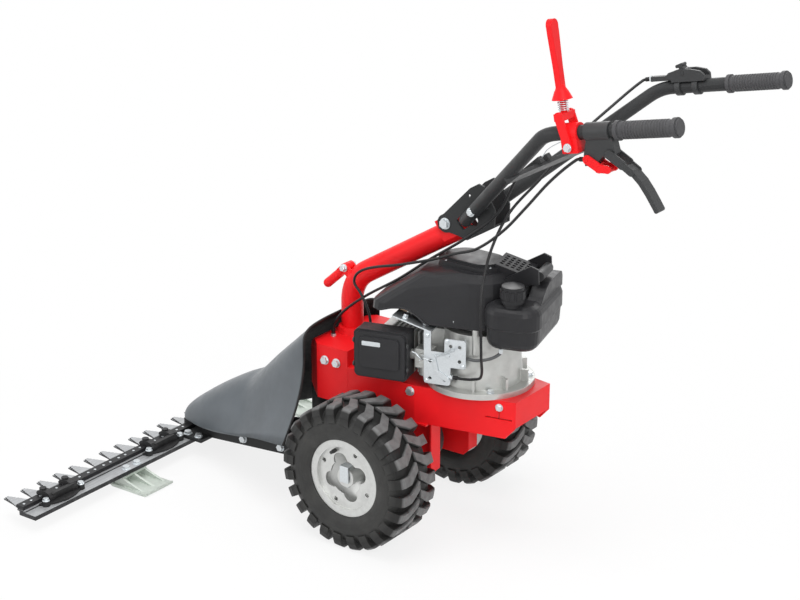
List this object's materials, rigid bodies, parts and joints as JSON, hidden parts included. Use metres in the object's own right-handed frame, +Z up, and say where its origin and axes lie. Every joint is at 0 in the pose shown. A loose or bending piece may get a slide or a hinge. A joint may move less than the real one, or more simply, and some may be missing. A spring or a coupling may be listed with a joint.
{
  "type": "sickle bar mower",
  "caption": "Walk-behind engine-powered sickle bar mower with lugged wheels, a reciprocating front knife, a grey hood, a sloped column and an adjustable handlebar.",
  "frame": {"origin": "on the ground, under the middle of the machine's length and width", "axes": "+X forward to the cutter bar, +Y to the operator's left, +Z up"},
  "size_m": [1.457, 1.204, 1.2104],
  "materials": {
    "red_paint": "satin gloss red paint",
    "black_paint": "satin black powder coat",
    "bar_steel": "rolled steel, oiled",
    "knife_black": "black oxide",
    "clamp_iron": "black painted casting",
    "skid_iron": "pale sand-cast surface",
    "hood_grey": "satin moulded grey",
    "gear_iron": "plain casting",
    "shaft_steel": "turned",
    "worm_bronze": "machined bronze",
    "belt_rubber": "matt",
    "engine_alloy": "die cast",
    "muffler_steel": "heat-dulled steel",
    "engine_black": "moulded black",
    "control_black": "moulded black",
    "zinc": "bright zinc plate",
    "rim_steel": "light grey galvanised",
    "tyre_rubber": "matt rubber",
    "grip_rubber": "ribbed soft rubber",
    "cable_black": "sheathed cable",
    "hose_grey": "matt hose"
  },
  "bodies": {
    "chassis": {"chassis_frame": "red_paint", "axle_bracket": "red_paint", "front_case": "red_paint", "column_tube": "red_paint", "front_beam": "black_paint", "cutter_bar": "bar_steel", "lower_comb": "bar_steel", "knife_clamps": "clamp_iron", "skids": "skid_iron", "hood": "hood_grey", "axle_gearbox": "gear_iron", "gearbox_cover": "gear_iron", "shaft_bearings": "shaft_steel", "drive_belts": "belt_rubber", "engine_crankcase": "engine_alloy", "engine_cylinder": "engine_alloy", "muffler": "muffler_steel", "carburettor": "engine_alloy", "air_filter_base": "engine_black", "air_filter_cover": "engine_black", "engine_shroud": "engine_black", "fuel_tank": "engine_black", "control_bracket": "zinc", "fuel_hose": "hose_grey", "frame_bolts": "zinc", "clutch_cable": "cable_black", "blade_cable": "cable_black", "throttle_cable": "cable_black"},
    "wheelset": {"axle_shaft": "shaft_steel", "worm_wheel": "worm_bronze", "rims": "rim_steel", "tyres": "tyre_rubber", "wheel_pins": "zinc"},
    "worm": {"worm_shaft": "shaft_steel", "worm_pulley": "gear_iron"},
    "spindle": {"blade_spindle": "shaft_steel", "blade_pulley": "gear_iron"},
    "crank": {"crankshaft": "shaft_steel", "drive_pulley": "gear_iron", "flywheel": "gear_iron"},
    "rocker": {"rocker_arm": "black_paint"},
    "knife": {"knife_back": "knife_black", "knife_sections": "bar_steel"},
    "handlebar": {"handle_bracket": "black_paint", "handle_tubes": "black_paint", "cross_plate": "control_black", "grips": "grip_rubber", "lever_clamp": "red_paint", "clutch_mount": "control_black", "throttle_body": "control_black", "handlebar_bolts": "zinc"},
    "blade_control": {"blade_lever": "red_paint", "lever_spring": "zinc"},
    "clutch_control": {"clutch_lever": "control_black"},
    "catch": {"safety_catch": "red_paint"},
    "throttle_control": {"throttle_lever": "control_black"},
    "governor": {"governor_arm": "zinc"},
    "cap": {"fuel_cap": "engine_black"},
    "starter": {"starter_grip": "control_black"},
    "column_control": {"column_lever": "red_paint"}
  },
  "joints": [
    {"name": "wheel_spin", "type": "hinge", "parent": "chassis", "child": "wheelset", "pos_m": [0.015, 0, 0.165], "axis": [0, 1, 0], "continuous": true},
    {"name": "worm_spin", "type": "hinge", "parent": "chassis", "child": "worm", "pos_m": [0.069, 0, 0.3], "axis": [0, 0, 1], "continuous": true},
    {"name": "crank_spin", "type": "hinge", "parent": "chassis", "child": "crank", "pos_m": [-0.161, 0, 0.4], "axis": [0, 0, 1], "continuous": true},
    {"name": "spindle_spin", "type": "hinge", "parent": "chassis", "child": "spindle", "pos_m": [0.21, 0, 0.325], "axis": [0, 0, 1], "continuous": true},
    {"name": "rocker_swing", "type": "hinge", "parent": "chassis", "child": "rocker", "pos_m": [0.28, 0, 0.15], "axis": [0, 0, 1], "range_deg": [-4, 4]},
    {"name": "knife_slide", "type": "slide", "parent": "chassis", "child": "knife", "axis": [0, 1, 0], "range_m": [-0.0265, 0.0265]},
    {"name": "handlebar_height", "type": "hinge", "parent": "chassis", "child": "handlebar", "pos_m": [-0.08585, 0, 0.69708], "axis": [0, 1, 0], "range_deg": [-10, 10], "deforming": ["clutch_cable", "blade_cable", "throttle_cable"]},
    {"name": "blade_lever_swing", "type": "hinge", "parent": "handlebar", "child": "blade_control", "pos_m": [-0.50852, 0.225, 0.97818], "axis": [0, -1, 0], "range_deg": [0, 35]},
    {"name": "clutch_squeeze", "type": "hinge", "parent": "handlebar", "child": "clutch_control", "pos_m": [-0.59049, 0.225, 0.97605], "axis": [0, 1, 0], "range_deg": [0, 28], "stiffness_Nm_per_rad": 2, "springref_deg": -11.46},
    {"name": "catch_press", "type": "hinge", "parent": "handlebar", "child": "catch", "pos_m": [-0.54495, 0.225, 0.95888], "axis": [0, 1, 0], "range_deg": [0, 8], "stiffness_Nm_per_rad": 1, "springref_deg": -11.46},
    {"name": "throttle_turn", "type": "hinge", "parent": "handlebar", "child": "throttle_control", "pos_m": [-0.5, -0.225, 1.03154], "axis": [0, 1, 0], "range_deg": [-35, 35]},
    {"name": "governor_turn", "type": "hinge", "parent": "chassis", "child": "governor", "pos_m": [-0.12493, 0.11267, 0.396], "axis": [-0.2588, 0.9659, 0], "range_deg": [-12, 12]},
    {"name": "fuel_cap_twist", "type": "hinge", "parent": "chassis", "child": "cap", "pos_m": [-0.27799, 0.06183, 0.59], "axis": [0, 0, 1], "range_deg": [0, 90]},
    {"name": "starter_pull", "type": "slide", "parent": "chassis", "child": "starter", "axis": [-0.9077, -0.2432, 0.342], "range_m": [0, 0.5], "stiffness_N_per_m": 20, "springref_m": -0.2},
    {"name": "column_lever_swing", "type": "hinge", "parent": "chassis", "child": "column_control", "pos_m": [0.197, 0, 0.537], "axis": [0, 1, 0], "range_deg": [-20, 15]}
  ],
  "couplings": [
    {"joint": "worm_spin", "follows": "wheel_spin", "ratio": 32},
    {"joint": "knife_slide", "follows": "rocker_swing", "m_per_rad": 0.376},
    {"joint": "governor_turn", "follows": "throttle_turn", "ratio": 0.3}
  ]
}
